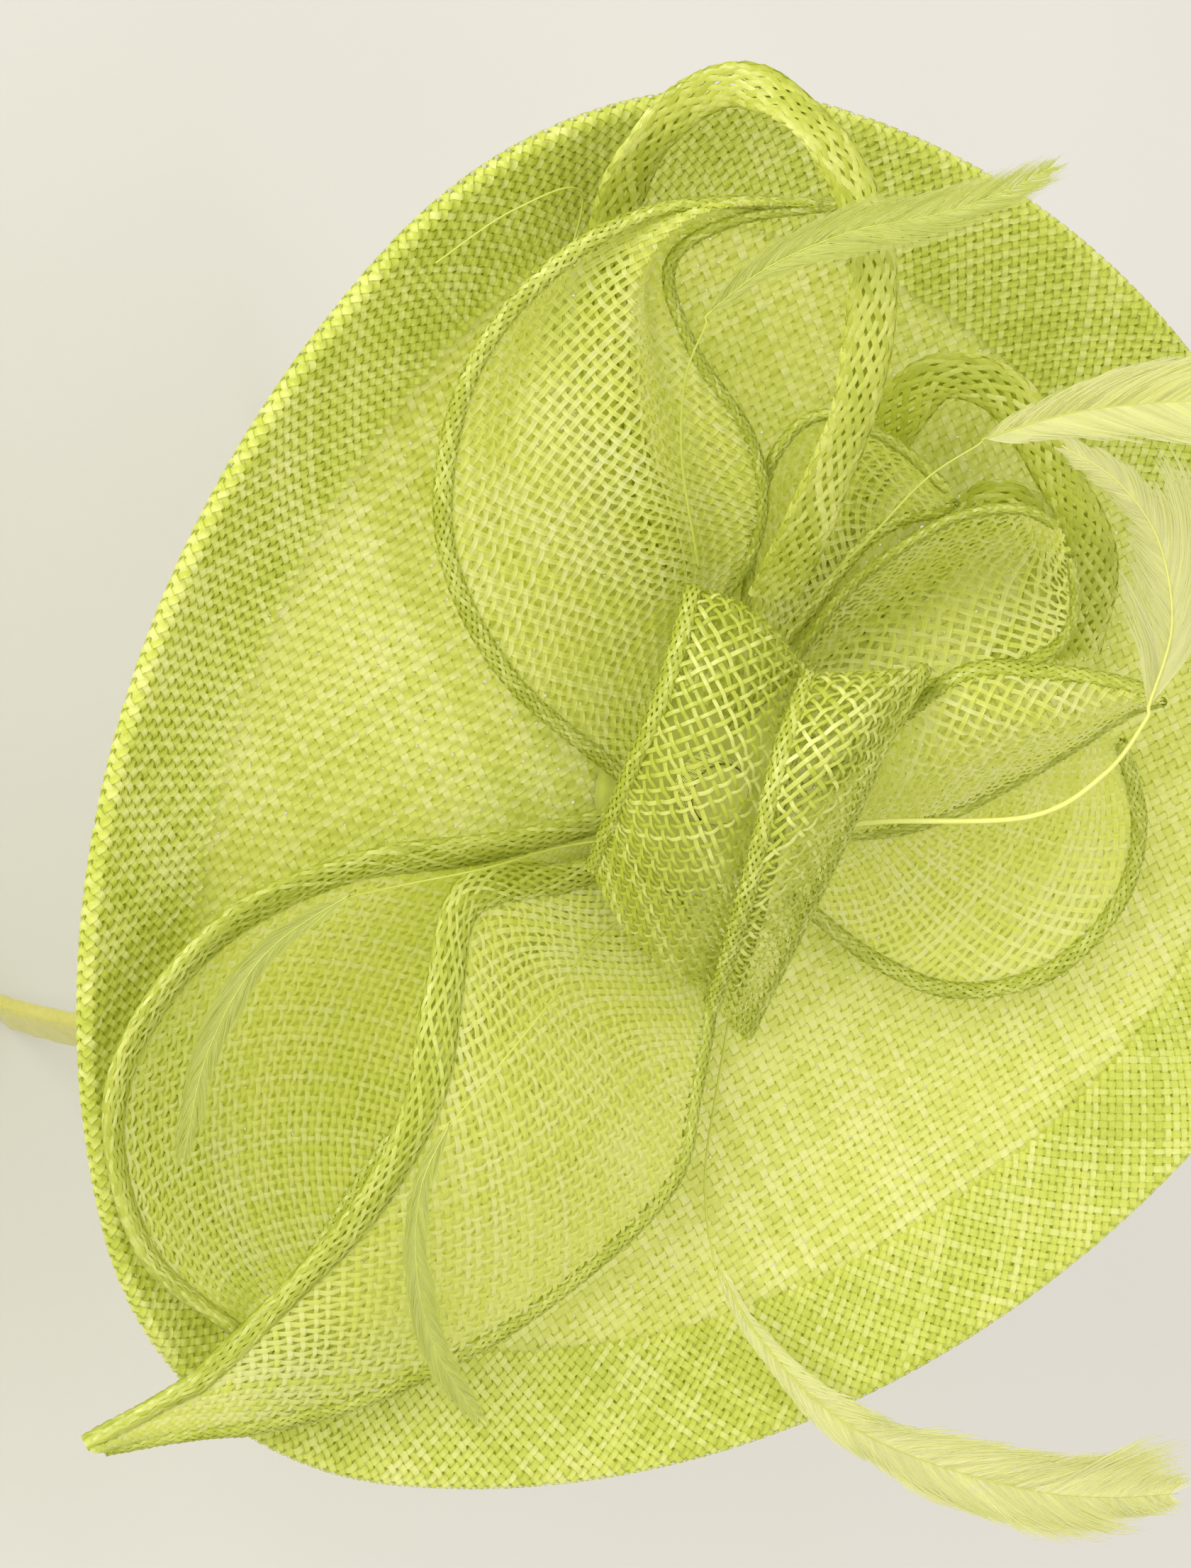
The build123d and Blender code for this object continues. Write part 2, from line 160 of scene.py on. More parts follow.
class Strips:
    """Collects strips, each a row of rings, into one mesh with a tone and a place across for its look."""

    def __init__(self):
        self.points, self.quads, self.tone, self.across, self.uv = [], [], [], [], []
        self.count = 0

    def add(self, centres, normals, widths, tones, profile=ROUND, shown=None):
        """centres and normals are (strips, rings, 3), widths (strips, rings) or (strips, 1) and tones
        (strips,); shown says which rings are made."""
        rows, rings = centres.shape[:2]
        shown = np.ones((rows, rings), bool) if shown is None else shown
        along = unit(np.gradient(centres, axis=1))
        side = unit(np.cross(normals, along))
        up = np.cross(along, side)
        widths = np.broadcast_to(widths, (rows, rings))
        shape = np.array(profile)
        ring = (centres[:, :, None] + side[:, :, None] * (shape[:, 0] * widths[..., None])[..., None]
                + up[:, :, None] * (shape[:, 1] * widths[..., None])[..., None])
        n = len(profile)
        number = np.cumsum(shown.ravel()).reshape(shown.shape) - 1
        first = self.count + number * n
        joined = shown[:, 1:] & shown[:, :-1]
        a, b = first[:, :-1][joined], first[:, 1:][joined]
        self.quads += [np.stack([a + p, a + p + 1, b + p + 1, b + p], axis=1) for p in range(n - 1)]
        self.points.append(ring[shown].reshape(-1, 3))
        tone = np.broadcast_to(np.asarray(tones)[:, None, None], (rows, rings, n))
        self.tone.append(tone[shown].ravel())
        across = np.broadcast_to(shape[:, 0] + 0.5, (rows, rings, n))
        self.across.append(across[shown].ravel())
        start = sum(x[0] for x in self.uv)
        row_place = np.arange(rows)[:, None, None] + 0.15 + 0.7 * across + start
        ring_place = np.broadcast_to((np.arange(rings) / max(rings - 1, 1))[None, :, None], across.shape)
        self.uv.append((rows, np.stack([ring_place[shown].ravel(), row_place[shown].ravel()], axis=1)))
        self.count += int(shown.sum()) * n

    def piece(self, name, material, slot):
        """The object, with a row of the bake's picture for each strip."""
        quads = np.concatenate(self.quads)
        used, quads = np.unique(quads, return_inverse=True)
        quads = quads.reshape(-1, 4)
        points = np.concatenate(self.points)[used] * MM
        mesh = bpy.data.meshes.new(name)
        mesh.vertices.add(len(points))
        mesh.vertices.foreach_set("co", points.astype(np.float32).ravel())
        mesh.loops.add(quads.size)
        mesh.loops.foreach_set("vertex_index", quads.astype(np.int32).ravel())
        mesh.polygons.add(len(quads))
        mesh.polygons.foreach_set("loop_start", np.arange(0, quads.size, 4, dtype=np.int32))
        mesh.polygons.foreach_set("use_smooth", np.full(len(quads), True))
        for label, values in (("tone", self.tone), ("across", self.across)):
            attribute = mesh.attributes.new(label, "FLOAT", "POINT")
            attribute.data.foreach_set("value", np.concatenate(values)[used].astype(np.float32))
        uv = np.concatenate([x[1] for x in self.uv])[used]
        uv[:, 1] /= sum(x[0] for x in self.uv)
        layer_uv = mesh.uv_layers.new(name="OFBake")
        layer_uv.data.foreach_set("uv", uv[quads.ravel()].astype(np.float32).ravel())
        mesh.update(calc_edges=True)
        mesh.validate()
        mesh.materials.append(material)
        piece = in_scene(name, mesh)
        return piece


def settle(piece, *nodes):
    """The piece rides on the disc's body and is shown in place of these CAD nodes."""
    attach(piece, BODY)
    if nodes:
        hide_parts(*nodes)
    return piece


# ---- weaving ----

irregular = 0.045  # how far threads stray from their places, in pitches
meander = 0.06  # how far a thread wanders along its length, in pitches
meander_length = 9.0  # of the wander, in millimetres


def weave(strips, at, extent, angle, pitch, width, seed, lift=0.2, profile=ROUND):
    """Two families of threads over and under each other on the surface at(x, y) of a flat cut.
    extent is (x0, x1, y0, y1) of the cut, angle the first family's direction."""
    rng = np.random.default_rng(seed)
    c, s = cos(angle), sin(angle)
    x0, x1, y0, y1 = extent
    corners = np.array([(x, y) for x in (x0, x1) for y in (y0, y1)])
    ranges = []
    for direction in ((c, s), (-s, c)):
        reach = corners @ np.array(direction)
        ranges.append((int(reach.min() // pitch) - 1, int(reach.max() // pitch) + 2))
    shifts = [rng.normal(0, irregular * pitch, b - a) for a, b in ranges]
    swells = [rng.uniform(0.85, 1.15, b - a) for a, b in ranges]
    tones = [rng.uniform(0, 1, b - a) for a, b in ranges]
    for family in (0, 1):
        (along0, along1), (over0, over1) = ranges[family], ranges[1 - family]
        threads = np.arange(over0, over1)[:, None]
        ring = np.arange(2 * (along1 - along0))[None, :]
        crossing = ring // 2
        along = (crossing + along0 + (ring % 2) * 0.5 - 0.25) * pitch + shifts[family][crossing]
        across = threads * pitch + shifts[1 - family][:, None]
        across = across + meander * pitch * np.sin(along / meander_length + 1.7 * threads)
        along, across = np.broadcast_arrays(along, across)
        a, b = (along, across) if family == 0 else (across, along)
        points, normals, shown = at(a * c - b * s, a * s + b * c)
        over = np.where((threads + crossing + along0) % 2 == 0, 1.0, -1.0)
        over = over * (1 if family == 0 else -1)
        points = points + normals * (over * lift)[..., None]
        widths = (width * swells[1 - family])[:, None]
        strips.add(points, normals, widths, tones[1 - family], profile, shown=shown)


def disc_surface(section):
    """The saucer's surface at this section radius, out to under the binding."""
    def at(u, v):
        depth = inside_rim(u, v)
        step = 0.5
        height = brim_height(np.maximum(depth, 0), section)
        slope_u = (brim_height(np.maximum(inside_rim(u + step, v), 0), section) - height) / step
        slope_v = (brim_height(np.maximum(inside_rim(u, v + step), 0), section) - height) / step
        normals = turned(np.stack([-slope_u, -slope_v, np.ones_like(u)], -1))
        return place(np.stack([u, v, height], -1)), unit(normals), depth > rim_inset + 1.0

    return at


def smooth_curve(points, t):
    """A smooth curve through the points, at each t from 0 to 1."""
    points = np.asarray(points, float)
    spans = len(points) - 1
    i = np.minimum((t * spans).astype(int), spans - 1)
    f = (t * spans - i)[:, None]
    ends = np.vstack([2 * points[0] - points[1], points, 2 * points[-1] - points[-2]])
    p, q, r, s = ends[i], ends[i + 1], ends[i + 2], ends[i + 3]
    return 0.5 * (2 * q + (r - p) * f + (2 * p - 5 * q + 4 * r - s) * f ** 2
                  + (3 * q - p - 3 * r + s) * f ** 3)


def run_length(points):
    """How far along the line each of its points lies."""
    steps = np.linalg.norm(np.diff(points, axis=0), axis=-1)
    return np.concatenate([[0], np.cumsum(steps)])


def resampled(marks, run, values):
    """The rows of values at these marks along a line."""
    return np.stack([np.interp(marks, run, values[:, k]) for k in range(values.shape[1])], axis=-1)


def even(points, step):
    """The line resampled at even lengths of about a step."""
    run = run_length(points)
    return resampled(np.linspace(0, run[-1], max(int(run[-1] / step) + 1, 3)), run, points)


class Cloth:
    """A sheet through three lines of (u, v, height above the disc), measured so that cloth can be laid on
    it. gather is how much of the cloth's full width is drawn together at its base and at its tip."""

    rows, half = 200, 20  # the measured grid's rows, and its columns each side of the ridge
    fine, middle = 1500, 40  # samples along the ridge, and each side of it while measuring
    base_part, tip_part = 0.35, 0.3  # the lengths over which the gathers run out

    def __init__(self, left, ridge, right, gather, cup=0, lobes=1):
        lines = left, ridge, right, cup, lobes
        fine = np.linspace(0, 1, self.fine)
        run = run_length(self.on_sheet(*lines, fine, np.full(self.fine, 0.5)))
        t = np.interp(np.linspace(0, run[-1], self.rows), run, fine)
        s = np.linspace(0, 1, 2 * self.middle + 1)
        tt, ss = np.meshgrid(t, s, indexing="ij")
        raw = self.on_sheet(*lines, tt.ravel(), ss.ravel()).reshape(self.rows, len(s), 3)
        self.grid = np.empty((self.rows, 2 * self.half + 1, 3))
        self.width = np.empty((self.rows, 2))
        marks = np.linspace(0, 1, self.half + 1)
        for i, row in enumerate(raw):
            to_left, to_right = row[self.middle::-1], row[self.middle:]
            left_run, right_run = run_length(to_left), run_length(to_right)
            self.grid[i, self.half::-1] = resampled(marks * left_run[-1], left_run, to_left)
            self.grid[i, self.half:] = resampled(marks * right_run[-1], right_run, to_right)
            self.width[i] = left_run[-1], right_run[-1]
        self.length = run[-1]
        self.normals = unit(np.cross(np.gradient(self.grid, axis=0), np.gradient(self.grid, axis=1)))
        share = np.linspace(0, 1, self.rows)
        at_base = np.clip(1 - share / self.base_part, 0, 1) ** 1.5
        at_tip = np.clip(1 - (1 - share) / self.tip_part, 0, 1) ** 1.5
        fullness = gather[0] * at_base + gather[1] * at_tip
        self.cut = self.width + (self.width.max(0) - self.width) * fullness[:, None]

    @staticmethod
    def on_sheet(left, ridge, right, cup, lobes, t, s):
        """The point at t along and s across the sheet, hollowed by its cup in so many lobes."""
        ends = (2 * s * s - 3 * s + 1, 4 * s * (1 - s), 2 * s * s - s)
        u, v, h = sum(e * smooth_curve(line, t).T for e, line in zip(ends, (left, ridge, right)))
        h = h - cup * np.sin(lobes * pi * s) ** 2 * np.sin(pi * t)
        return place(np.stack([u, v, saucer_top(u, v) + h], axis=-1))

    def at(self, x, y):
        """Points and normals where the flat cut's (x, y) lies, x along the sheet and y across from the
        ridge, and which of them are inside the cut."""
        r = x / self.length * (self.rows - 1)
        inside = (r >= 0) & (r <= self.rows - 1)
        r = np.clip(r, 0, self.rows - 1.001)
        i = r.astype(int)
        f = r - i
        cut = self.cut[i] * (1 - f)[..., None] + self.cut[i + 1] * f[..., None]
        q = np.where(y < 0, y / cut[..., 0], y / cut[..., 1])
        inside &= np.abs(q) <= 1
        q = np.clip((np.clip(q, -1, 1) + 1) * self.half, 0, 2 * self.half - 0.001)
        j = q.astype(int)
        g = (q - j)[..., None]
        f = f[..., None]

        def mixed(grid):
            return ((grid[i, j] * (1 - g) + grid[i, j + 1] * g) * (1 - f)
                    + (grid[i + 1, j] * (1 - g) + grid[i + 1, j + 1] * g) * f)

        return mixed(self.grid), unit(mixed(self.normals)), inside

    def extent(self):
        return 0, self.length, -self.cut[:, 0].max(), self.cut[:, 1].max()

    def edge(self, side):
        """The line along one side, -1 left or 1 right, with its normals and the way out of the sheet."""
        j = self.half * (1 + side)
        line = self.grid[:, j]
        return line, self.normals[:, j], unit(line - self.grid[:, j - side])


def tapered(values, count):
    """The values spread evenly over so many rings."""
    return np.interp(np.linspace(0, 1, count), np.linspace(0, 1, len(values)), values)


def braid(strips, line, normals, out, half_width, half_thick, strands, lay, width, seed, weave_lift=0.13):
    """A flattened braided tube round a line, as where straw cloth is rolled, folded or made into a tube.
    So many strands go each way round, lay is the length of one turn, and half_width and half_thick list
    values at even lengths along the line."""
    rng = np.random.default_rng(seed)
    run = run_length(line)
    crossing = lay / (2 * strands)
    rings = max(int(run[-1] / min(0.9, crossing / 2)), 8)
    marks = np.linspace(0, run[-1], rings)
    centre, up = resampled(marks, run, line), unit(resampled(marks, run, normals))
    tangent = unit(np.gradient(centre, axis=0))
    across = unit(np.cross(up, tangent))
    across = across * np.sign((across * resampled(marks, run, out)).sum(1).mean())
    wide, thick = tapered(half_width, rings), tapered(half_thick, rings)
    wide = wide * (1 + 0.05 * np.sin(marks / 4.3 + seed))
    for hand in (1, -1):
        start = np.arange(strands)[:, None] * 2 * pi / strands
        jitter = rng.normal(0, 0.25 / strands, (strands, 1))
        turn = start + jitter + hand * marks[None, :] * 2 * pi / lay + 0.04 * np.sin(marks / 7.0)
        c, s = np.cos(turn), np.sin(turn)
        around = across[None] * (c * wide)[..., None] + up[None] * (s * thick)[..., None]
        outward = unit(across[None] * (c * thick)[..., None] + up[None] * (s * wide)[..., None])
        lift = hand * weave_lift * np.cos(pi * marks / crossing)[None, :, None]
        strips.add(centre[None] + around + outward * lift, outward,
                   width * rng.uniform(0.85, 1.15, (strands, 1)), rng.uniform(0, 1, strands))


def yarn(strips, line, radius, strands, lay, width, seed):
    """A few fibres twisted into one thread along a line."""
    rng = np.random.default_rng(seed)
    run = run_length(line)
    marks = np.linspace(0, run[-1], max(int(run[-1] / 0.3), 8))
    centre = resampled(marks, run, line)
    tangent = unit(np.gradient(centre, axis=0))
    across = unit(np.cross(np.broadcast_to([0.31, 0.2, 0.93], tangent.shape), tangent))
    up = np.cross(tangent, across)
    turn = np.arange(strands)[:, None] * 2 * pi / strands + marks[None, :] * 2 * pi / lay
    outward = across[None] * np.cos(turn)[..., None] + up[None] * np.sin(turn)[..., None]
    strips.add(centre[None] + outward * radius, outward, width * np.ones((strands, 1)),
               rng.uniform(0, 1, strands))


# ---- materials ----

def srgb(r, g, b):
    """Linear colour from 0 to 255 values."""
    parts = [x / 255 for x in (r, g, b)]
    return tuple(x / 12.92 if x <= 0.04045 else ((x + 0.055) / 1.055) ** 2.4 for x in parts) + (1.0,)


def new_material(name):
    """A material with its nodes, links, shader and output."""
    material = bpy.data.materials.new(name)
    material.use_nodes = True
    nodes, links = material.node_tree.nodes, material.node_tree.links
    return material, nodes, links, nodes["Principled BSDF"], nodes["Material Output"]


def ramp_of(nodes, links, value, stops):
    """A colour from a value, by stops of (position, colour)."""
    ramp = nodes.new("ShaderNodeValToRGB")
    elements = ramp.color_ramp.elements
    while len(elements) < len(stops):
        elements.new(0.5)
    for element, (position, colour) in zip(elements, stops):
        element.position = position
        element.color = colour
    links.new(value, ramp.inputs["Fac"])
    return ramp.outputs["Color"]


def maths(nodes, links, operation, first, second):
    node = nodes.new("ShaderNodeMath")
    node.operation = operation
    for socket, value in zip(node.inputs, (first, second)):
        if isinstance(value, (int, float)):
            socket.default_value = value
        else:
            links.new(value, socket)
    return node.outputs["Value"]


def attribute_of(nodes, name):
    node = nodes.new("ShaderNodeAttribute")
    node.attribute_name = name
    return node.outputs["Fac"]


def noise_of(nodes, links, scale, detail=3.0, stretch=None):
    """Noise in the object's space, squeezed along the axes by stretch."""
    texture = nodes.new("ShaderNodeTexNoise")
    texture.inputs["Scale"].default_value = scale
    texture.inputs["Detail"].default_value = detail
    where = nodes.new("ShaderNodeTexCoord").outputs["Object"]
    if stretch:
        mapping = nodes.new("ShaderNodeMapping")
        mapping.inputs["Scale"].default_value = stretch
        links.new(where, mapping.inputs["Vector"])
        where = mapping.outputs["Vector"]
    links.new(where, texture.inputs["Vector"])
    return texture.outputs["Fac"]


def bumped(nodes, links, shader, height, strength, depth):
    """Bumps the shader, to this depth in millimetres."""
    bump = nodes.new("ShaderNodeBump")
    bump.inputs["Strength"].default_value = strength
    bump.inputs["Distance"].default_value = depth * MM
    links.new(height, bump.inputs["Height"])
    links.new(bump.outputs["Normal"], shader.inputs["Normal"])


def straw(name, dark, mid, light, roughness=0.27, through=0.3):
    """Glossy dyed straw fibre: a tone for each thread, patches of dye, a rounded section and light coming
    through. The colours are 0 to 255 values."""
    material, nodes, links, shader, output = new_material(name)
    tone = maths(nodes, links, "MULTIPLY", attribute_of(nodes, "tone"), 0.55)
    patches = maths(nodes, links, "MULTIPLY", noise_of(nodes, links, 90.0), 0.45)
    flecks = maths(nodes, links, "MULTIPLY", noise_of(nodes, links, 1400.0, 1.0), 0.35)
    value = maths(nodes, links, "ADD", maths(nodes, links, "ADD", tone, patches), flecks)
    value = maths(nodes, links, "SUBTRACT", value, 0.17)
    stops = [(0.1, srgb(*dark)), (0.5, srgb(*mid)), (0.9, srgb(*light))]
    colour = ramp_of(nodes, links, value, stops)
    links.new(colour, shader.inputs["Base Color"])
    shader.inputs["Roughness"].default_value = roughness
    shader.inputs["Specular IOR Level"].default_value = 0.6
    across = attribute_of(nodes, "across")
    hump = maths(nodes, links, "MULTIPLY", across, maths(nodes, links, "SUBTRACT", 1.0, across))
    fibre = maths(nodes, links, "MULTIPLY", noise_of(nodes, links, 2600.0, 1.0), 0.12)
    bumped(nodes, links, shader, maths(nodes, links, "ADD", hump, fibre), 0.6, 0.5)
    lit = nodes.new("ShaderNodeBsdfTranslucent")
    links.new(colour, lit.inputs["Color"])
    mix = nodes.new("ShaderNodeMixShader")
    mix.inputs["Fac"].default_value = through
    links.new(shader.outputs["BSDF"], mix.inputs[1])
    links.new(lit.outputs["BSDF"], mix.inputs[2])
    links.new(mix.outputs["Shader"], output.inputs["Surface"])
    return material


def fabric(name, dark, light, scale, strength, roughness=0.85, sheen=0.3):
    """Woven or felted cloth: two crossed fine textures. The colours are 0 to 255 values."""
    material, nodes, links, shader, _ = new_material(name)
    first = noise_of(nodes, links, scale, 2.0, (1.0, 0.25, 1.0))
    second = noise_of(nodes, links, scale, 2.0, (0.25, 1.0, 0.25))
    grain = maths(nodes, links, "MULTIPLY", maths(nodes, links, "ADD", first, second), 0.5)
    patches = noise_of(nodes, links, scale / 25)
    value = maths(nodes, links, "ADD", maths(nodes, links, "MULTIPLY", grain, 0.7),
                  maths(nodes, links, "MULTIPLY", patches, 0.3))
    stops = [(0.3, srgb(*dark)), (0.7, srgb(*light))]
    links.new(ramp_of(nodes, links, value, stops), shader.inputs["Base Color"])
    shader.inputs["Roughness"].default_value = roughness
    shader.inputs["Sheen Weight"].default_value = sheen
    bumped(nodes, links, shader, grain, strength, 0.3)
    return material


def hard(name, dark, light, metallic, roughness, scale, stretch):
    """Metal or plastic with fine drawn marks. The colours are linear."""
    material, nodes, links, shader, _ = new_material(name)
    marks = noise_of(nodes, links, scale, 4.0, stretch)
    links.new(ramp_of(nodes, links, marks, [(0.3, dark), (0.7, light)]), shader.inputs["Base Color"])
    rough = maths(nodes, links, "ADD", maths(nodes, links, "MULTIPLY", marks, 0.25), roughness)
    links.new(rough, shader.inputs["Roughness"])
    shader.inputs["Metallic"].default_value = metallic
    bumped(nodes, links, shader, marks, 0.2, 0.05)
    return material


disc_straw = straw("disc straw", (226, 232, 114), (240, 244, 146), (250, 251, 188), through=0.4)
lining_straw = straw("lining straw", (218, 225, 96), (232, 237, 122), (242, 244, 150), through=0.4)
binding_straw = straw("binding straw", (214, 224, 88), (233, 240, 122), (249, 251, 176), through=0.42)
# The petals' straw is the disc's straw made brighter: painted light, standing in for the light that comes
# through the petals and up from the disc.
petal_straw = straw("petal straw with painted light", (236, 243, 122), (248, 251, 160), (253, 254, 202), through=0.6)
knot_straw = straw("knot straw", (186, 197, 58), (212, 220, 92), (246, 248, 160))
# The rolled edges' straw is a darker copy of the petal straw: painted shade on the rolls.
roll_straw_painted_shade = straw("roll straw with painted shade", (184, 195, 58), (208, 217, 88), (238, 243, 142))
loop_straw = straw("loop straw", (188, 199, 60), (214, 222, 90), (244, 247, 150))
feather_barb = straw("feather barbs", (249, 251, 194), (251, 252, 204), (253, 253, 214),
                              roughness=0.7, through=0.6)
# A darker copy of the feather barbs: painted shade, for the lower centre, left and top feathers.
painted_shade_barb = straw("feather barbs with painted shade", (232, 238, 142), (238, 243, 158), (244, 247, 172),
                             roughness=0.7, through=0.6)
sleeve_cloth = fabric("sleeve cloth", (178, 174, 76), (200, 196, 100), 2200.0, 0.35)
felt_cloth = fabric("felt", (170, 178, 60), (200, 206, 96), 700.0, 0.8)
thread_stuff = fabric("sewing thread", (188, 194, 80), (214, 218, 110), 3000.0, 0.5, 0.6)
spring_steel = hard("spring steel", (0.4, 0.4, 0.41, 1), (0.6, 0.6, 0.61, 1), 1.0, 0.25,
                             500.0, (1, 12, 1))
covered_wire = hard("covered wire", srgb(200, 204, 120), srgb(222, 224, 150), 0.0, 0.6,
                             1500.0, (1, 1, 6))
post_plastic = hard("post plastic", srgb(186, 190, 84), srgb(200, 204, 100), 0.0, 0.4, 300.0, (1, 1, 1))


# ---- the disc ----

disc_pitch = 1.3
disc_thread = 0.98
binding_pitch = 1.25
binding_thread = 0.84
flat_lift = 0.17  # how far flat threads rise and fall


def disc_cloth(side, section, angle, seed, material):
    """One layer of the disc, of flat threads close together."""
    strips = Strips()
    reach = disc_width / 2 + 2
    weave(strips, disc_surface(section), (-reach, reach, -reach, reach), radians(angle), disc_pitch,
          disc_thread, seed, lift=flat_lift, profile=FLAT)
    piece = settle(strips.piece(f"saucer_{side}_weave", material, "disc_straw"), f"saucer_{side}_layer")


disc_cloth("upper", brim_arc - layer / 2, -17, 11, disc_straw)
disc_cloth("lower", brim_arc + layer / 2, 28, 12, lining_straw)


def binding():
    """A bias strip folded over the wire, from the joint at the back right round and over itself."""
    strips = Strips()
    seam, lap = 180, 1
    bearings = np.radians(np.linspace(seam - lap, seam + 360 + lap, 1441))
    starts = [arc[3] for arc in ARCS]
    arc_of = (((np.degrees(bearings) - starts[0]) % 360) // 60).astype(int)
    centres = np.array([arc[:2] for arc in ARCS])[arc_of]
    radii = np.array([arc[2] for arc in ARCS])[arc_of] - rim_inset
    run = np.concatenate([[0], np.cumsum(radii[1:] * np.diff(bearings))])
    reach = layer + binding_thickness / 2
    bend_half = pi * reach / 2
    half = binding_width + bend_half

    def section_at(y):
        """Out from the wire and up from the rim plane at y along the strip's section, and the way out."""
        above = y > bend_half
        below = y < -bend_half
        back = np.where(above, y - bend_half, np.where(below, -y - bend_half, 0))
        slope = brim_angle - back / brim_arc
        arc = np.where(above, brim_arc - reach, brim_arc + reach)
        out_limb = arc * np.sin(slope) - brim_reach
        up_limb = brim_centre - arc * np.cos(slope)
        bend = np.clip(y / reach, -pi / 2, pi / 2) + brim_angle
        fold = ~(above | below)
        out = np.where(fold, reach * np.cos(bend), out_limb)
        up = np.where(fold, reach * np.sin(bend), up_limb)
        tilt = np.where(above, slope + pi / 2, np.where(below, slope - pi / 2, bend))
        return out, up, np.cos(tilt), np.sin(tilt)

    def at(x, y):
        """As Cloth.at, with x round the rim and y over it."""
        bearing = np.interp(x, run, bearings)
        index = np.clip(np.searchsorted(run, x), 0, len(run) - 1)
        out, up, way_out, way_up = section_at(y)
        c, s = np.cos(bearing), np.sin(bearing)
        radius = radii[index] + out
        points = place(np.stack([centres[index, 0] + radius * c, centres[index, 1] + radius * s, up], -1))
        normals = turned(np.stack([way_out * c, way_out * s, way_up], -1))
        return points, unit(normals), (x >= 0) & (x <= run[-1]) & (np.abs(y) <= half)

    weave(strips, at, (0, run[-1], -half, half), radians(45), binding_pitch, binding_thread, 13,
          lift=flat_lift, profile=FLAT)
    piece = settle(strips.piece("edge_binding_weave", binding_straw, "binding_straw"), "edge_binding")


binding()


# ---- the flower's lines of (u, v, height above the disc), as in the CAD ----

petals = {
    "petal_upper_left": dict(
        left=[(4, -15, 4), (6, -41, 7), (0, -62, 8), (-14, -76, 9), (-29, -81, 12), (-45, -78, 16),
              (-62, -63, 24)],
        ridge=[(-6, -18, 4), (-16, -36, 12), (-22, -53, 17), (-31, -66, 17), (-39, -74, 17),
               (-49, -75, 20), (-61, -64, 25)],
        right=[(-17, -22, 4), (-29, -30, 11), (-36, -41, 13), (-38, -58, 14), (-42, -70, 15),
               (-50, -71, 19), (-60, -65, 24)],
        cup=5, lobes=2),
    "petal_lower_left": dict(
        left=[(9, -13, 4), (23, -26, 8), (37, -41, 11), (53, -50, 10), (69, -50, 7), (81, -43, 5),
              (90, -27, 6), (90, -8, 8)],
        ridge=[(14, -10, 3), (27, -16, 4), (42, -22, 4), (58, -26, 5), (71, -24, 4), (80, -20, 4),
               (86, -14, 5), (89, -6, 7)],
        right=[(18, -7, 3), (32, -8, 3), (48, -6, 4), (62, -5, 5), (72, -4, 5), (79, -4, 6),
               (84, -4, 7), (88, -4, 7)]),
    "petal_lower_centre": dict(
        left=[(12, -8, 5), (19, -14, 7), (30, -28, 15), (42, -25, 22), (54, -17, 23), (70, -11, 19),
              (88, -9, 11), (103, -12, 7), (113, -15, 5)],
        ridge=[(11, 2, 4), (19, 0, 6), (30, -8, 15), (41, -4, 22), (53, 2, 22), (68, 5, 18),
               (86, 0, 13), (102, -8, 7), (113, -14, 6)],
        right=[(12, 13, 4), (18, 18, 6), (27, 22, 10), (37, 26, 14), (50, 26, 14), (68, 22, 12),
               (87, 12, 9), (103, -4, 6), (112, -12, 5)]),
    "petal_right_lower": dict(
        left=[(-1, 17, 4), (-3, 33, 6), (-8, 45, 8), (-19, 53, 10), (-32, 53, 11), (-41, 45, 13),
              (-46, 31, 16)],
        ridge=[(-6, 16, 4), (-11, 31, 4), (-20, 38, 5), (-29, 41, 7), (-36, 40, 10), (-41, 36, 13),
               (-46, 29, 16)],
        right=[(-10, 14, 5), (-18, 21, 7), (-26, 24, 10), (-34, 25, 12), (-39, 26, 14), (-43, 27, 15),
               (-46, 27, 16)]),
    "petal_right_upper": dict(
        left=[(-13, 6, 9), (-26, -2, 22), (-35, -3, 28), (-42, 4, 32), (-46, 9, 35), (-49, 14, 37)],
        ridge=[(-10, 8, 11), (-23, 3, 25), (-31, 4, 32), (-38, 8, 35), (-44, 11, 36), (-49, 15, 38)],
        right=[(-9, 12, 8), (-21, 18, 15), (-31, 19, 21), (-39, 18, 27), (-46, 17, 32), (-49, 16, 37)]),
    "petal_upper_right": dict(
        left=[(-20, -10, 7), (-31, -15, 12), (-39, -17, 17), (-48, -16, 21), (-54, -12, 24),
              (-56, -7, 25)],
        ridge=[(-20, -6, 6), (-33, -3, 8), (-41, 0, 9), (-48, 2, 13), (-53, 2, 18), (-56, -4, 24)],
        right=[(-20, -2, 7), (-31, 4, 11), (-39, 9, 14), (-46, 11, 18), (-51, 7, 22), (-55, -2, 25)],
        cup=3),
    "petal_upper_centre": dict(
        left=[(-20, -18, 5), (-31, -30, 8), (-38, -37, 12), (-45, -37, 14), (-49, -28, 16),
              (-50, -18, 18)],
        ridge=[(-22, -15, 5), (-32, -21, 5), (-39, -25, 6), (-45, -25, 10), (-48, -22, 14),
               (-50, -17, 18)],
        right=[(-23, -12, 5), (-33, -13, 5), (-40, -14, 6), (-45, -14, 9), (-48, -14, 14),
               (-50, -15, 17)]),
}
